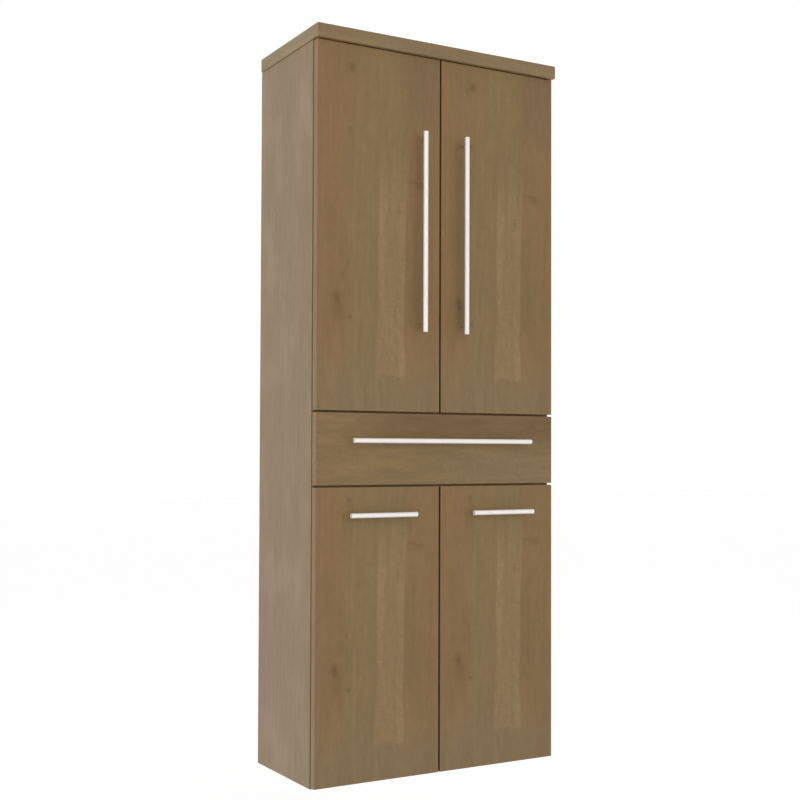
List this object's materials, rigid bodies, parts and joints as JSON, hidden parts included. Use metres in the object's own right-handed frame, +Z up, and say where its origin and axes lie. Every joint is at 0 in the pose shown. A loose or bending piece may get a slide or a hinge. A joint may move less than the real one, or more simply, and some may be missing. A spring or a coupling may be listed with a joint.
{
  "type": "tall bathroom cabinet",
  "caption": "Tall wall-hung bathroom cabinet with hinged upper and lower doors, a full-width drawer between them, bar handles and a thick cover plate.",
  "frame": {"origin": "middle of the overall box in X and Y, underside of the side panels in Z", "axes": "+Z up, -Y out of the doors and the drawer, +X to the right of someone who faces the doors"},
  "size_m": [0.606, 0.361, 1.64],
  "materials": {
    "laminate_front": "matt oak-look laminate",
    "laminate_side": "matt oak-look laminate",
    "laminate_cover": "matt oak-look laminate",
    "laminate_carcass": "matt oak-look laminate",
    "hardboard": "printed hardboard",
    "drawer_board": "light foil-wrapped board",
    "handle_metal": "fine satin",
    "screw_steel": "zinc plated",
    "hinge_steel": "nickel plated",
    "runner_steel": "zinc plated",
    "ball_steel": "polished",
    "cage_plastic": "moulded",
    "peg_steel": "nickel plated",
    "bumper_rubber": "soft clear",
    "hanger_plastic": "moulded"
  },
  "bodies": {
    "carcass": {"back_panel": "hardboard", "bottom_panel": "laminate_carcass", "cover_plate": "laminate_cover", "cover_plate_screws": "screw_steel", "divider_panel_lower": "laminate_carcass", "divider_panel_upper": "laminate_carcass", "door_bumpers": "bumper_rubber", "hanging_brackets": "hanger_plastic", "hinge_arms": "hinge_steel", "hinge_mounting_plates": "hinge_steel", "runner_cabinet_left": "runner_steel", "runner_cabinet_right": "runner_steel", "shelf_lower": "laminate_carcass", "shelf_supports": "peg_steel", "shelf_upper_high": "laminate_carcass", "shelf_upper_low": "laminate_carcass", "side_panel_left": "laminate_side", "side_panel_right": "laminate_side", "system_screws": "screw_steel", "top_panel": "laminate_carcass", "wall_plates": "runner_steel"},
    "drawer": {"drawer_back": "drawer_board", "drawer_bottom": "hardboard", "drawer_box_front": "drawer_board", "drawer_front": "laminate_front", "drawer_handle_bar": "handle_metal", "drawer_handle_posts": "handle_metal", "drawer_handle_screws": "screw_steel", "drawer_side_left": "drawer_board", "drawer_side_right": "drawer_board", "runner_drawer_left": "runner_steel", "runner_drawer_right": "runner_steel"},
    "runner_middles": {"runner_ball_cages": "cage_plastic", "runner_balls": "ball_steel", "runner_middle_left": "runner_steel", "runner_middle_right": "runner_steel"},
    "door_upper_left_hinge_links": {"door_upper_left_hinge_links": "hinge_steel"},
    "door_upper_left": {"door_upper_left_handle_bar": "handle_metal", "door_upper_left_handle_posts": "handle_metal", "door_upper_left_handle_screws": "screw_steel", "door_upper_left_hinge_cups": "hinge_steel", "door_upper_left_panel": "laminate_front"},
    "door_upper_right_hinge_links": {"door_upper_right_hinge_links": "hinge_steel"},
    "door_upper_right": {"door_upper_right_handle_bar": "handle_metal", "door_upper_right_handle_posts": "handle_metal", "door_upper_right_handle_screws": "screw_steel", "door_upper_right_hinge_cups": "hinge_steel", "door_upper_right_panel": "laminate_front"},
    "door_lower_left_hinge_links": {"door_lower_left_hinge_links": "hinge_steel"},
    "door_lower_left": {"door_lower_left_handle_bar": "handle_metal", "door_lower_left_handle_posts": "handle_metal", "door_lower_left_handle_screws": "screw_steel", "door_lower_left_hinge_cups": "hinge_steel", "door_lower_left_panel": "laminate_front"},
    "door_lower_right_hinge_links": {"door_lower_right_hinge_links": "hinge_steel"},
    "door_lower_right": {"door_lower_right_handle_bar": "handle_metal", "door_lower_right_handle_posts": "handle_metal", "door_lower_right_handle_screws": "screw_steel", "door_lower_right_hinge_cups": "hinge_steel", "door_lower_right_panel": "laminate_front"}
  },
  "joints": [
    {"name": "drawer_slide", "type": "slide", "parent": "carcass", "child": "drawer", "axis": [0, -1, 0], "range_m": [0, 0.25]},
    {"name": "runner_middle_slide", "type": "slide", "parent": "carcass", "child": "runner_middles", "axis": [0, -1, 0], "range_m": [0, 0.125]},
    {"name": "door_upper_left_link_turn", "type": "hinge", "parent": "carcass", "child": "door_upper_left_hinge_links", "pos_m": [-0.272, -0.1205, 1.20815], "axis": [0, 0, 1], "range_deg": [0, 63]},
    {"name": "door_upper_left_hinge", "type": "hinge", "parent": "door_upper_left_hinge_links", "child": "door_upper_left", "pos_m": [-0.289, -0.1295, 1.20815], "axis": [0, 0, -1], "range_deg": [0, 168]},
    {"name": "door_upper_right_link_turn", "type": "hinge", "parent": "carcass", "child": "door_upper_right_hinge_links", "pos_m": [0.272, -0.1205, 1.20815], "axis": [0, 0, -1], "range_deg": [0, 63]},
    {"name": "door_upper_right_hinge", "type": "hinge", "parent": "door_upper_right_hinge_links", "child": "door_upper_right", "pos_m": [0.289, -0.1295, 1.20815], "axis": [0, 0, 1], "range_deg": [0, 168]},
    {"name": "door_lower_left_link_turn", "type": "hinge", "parent": "carcass", "child": "door_lower_left_hinge_links", "pos_m": [-0.272, -0.1205, 0.32265], "axis": [0, 0, 1], "range_deg": [0, 63]},
    {"name": "door_lower_left_hinge", "type": "hinge", "parent": "door_lower_left_hinge_links", "child": "door_lower_left", "pos_m": [-0.289, -0.1295, 0.32265], "axis": [0, 0, -1], "range_deg": [0, 168]},
    {"name": "door_lower_right_link_turn", "type": "hinge", "parent": "carcass", "child": "door_lower_right_hinge_links", "pos_m": [0.272, -0.1205, 0.32265], "axis": [0, 0, -1], "range_deg": [0, 63]},
    {"name": "door_lower_right_hinge", "type": "hinge", "parent": "door_lower_right_hinge_links", "child": "door_lower_right", "pos_m": [0.289, -0.1295, 0.32265], "axis": [0, 0, 1], "range_deg": [0, 168]}
  ],
  "couplings": [
    {"joint": "runner_middle_slide", "follows": "drawer_slide", "ratio": 0.5},
    {"joint": "door_upper_left_link_turn", "follows": "door_upper_left_hinge", "ratio": 0.375},
    {"joint": "door_upper_right_link_turn", "follows": "door_upper_right_hinge", "ratio": 0.375},
    {"joint": "door_lower_left_link_turn", "follows": "door_lower_left_hinge", "ratio": 0.375},
    {"joint": "door_lower_right_link_turn", "follows": "door_lower_right_hinge", "ratio": 0.375}
  ]
}
